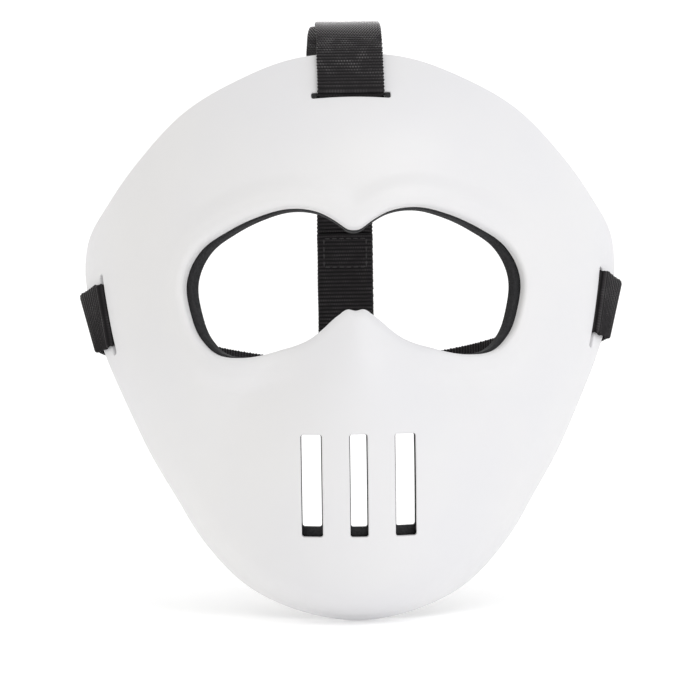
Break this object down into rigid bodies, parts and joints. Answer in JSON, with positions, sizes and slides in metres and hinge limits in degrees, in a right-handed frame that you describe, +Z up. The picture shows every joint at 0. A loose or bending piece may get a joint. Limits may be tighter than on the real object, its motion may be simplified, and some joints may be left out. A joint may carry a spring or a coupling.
{
  "type": "field hockey face mask",
  "caption": "Moulded full-face shell with a wide eye opening, upright mouth slots, a foam lining and webbing head straps.",
  "frame": {"origin": "the head seat: the foam lining's inner face at the middle of the forehead, where the wearer's forehead rests", "axes": "+Y from the face towards the back of the head, +Z up, +X across the face to the right as seen from the front; the mask is mirrored about X"},
  "size_m": [0.2154, 0.2368, 0.2342],
  "materials": {
    "shell": "satin moulded plastic, white",
    "foam": "matt closed-cell foam, black",
    "webbing": "ribbed woven elastic, black"
  },
  "bodies": {
    "root": {"shell": "shell", "foam_lining": "foam", "top_strap": "webbing", "head_strap": "webbing"}
  },
  "joints": []
}
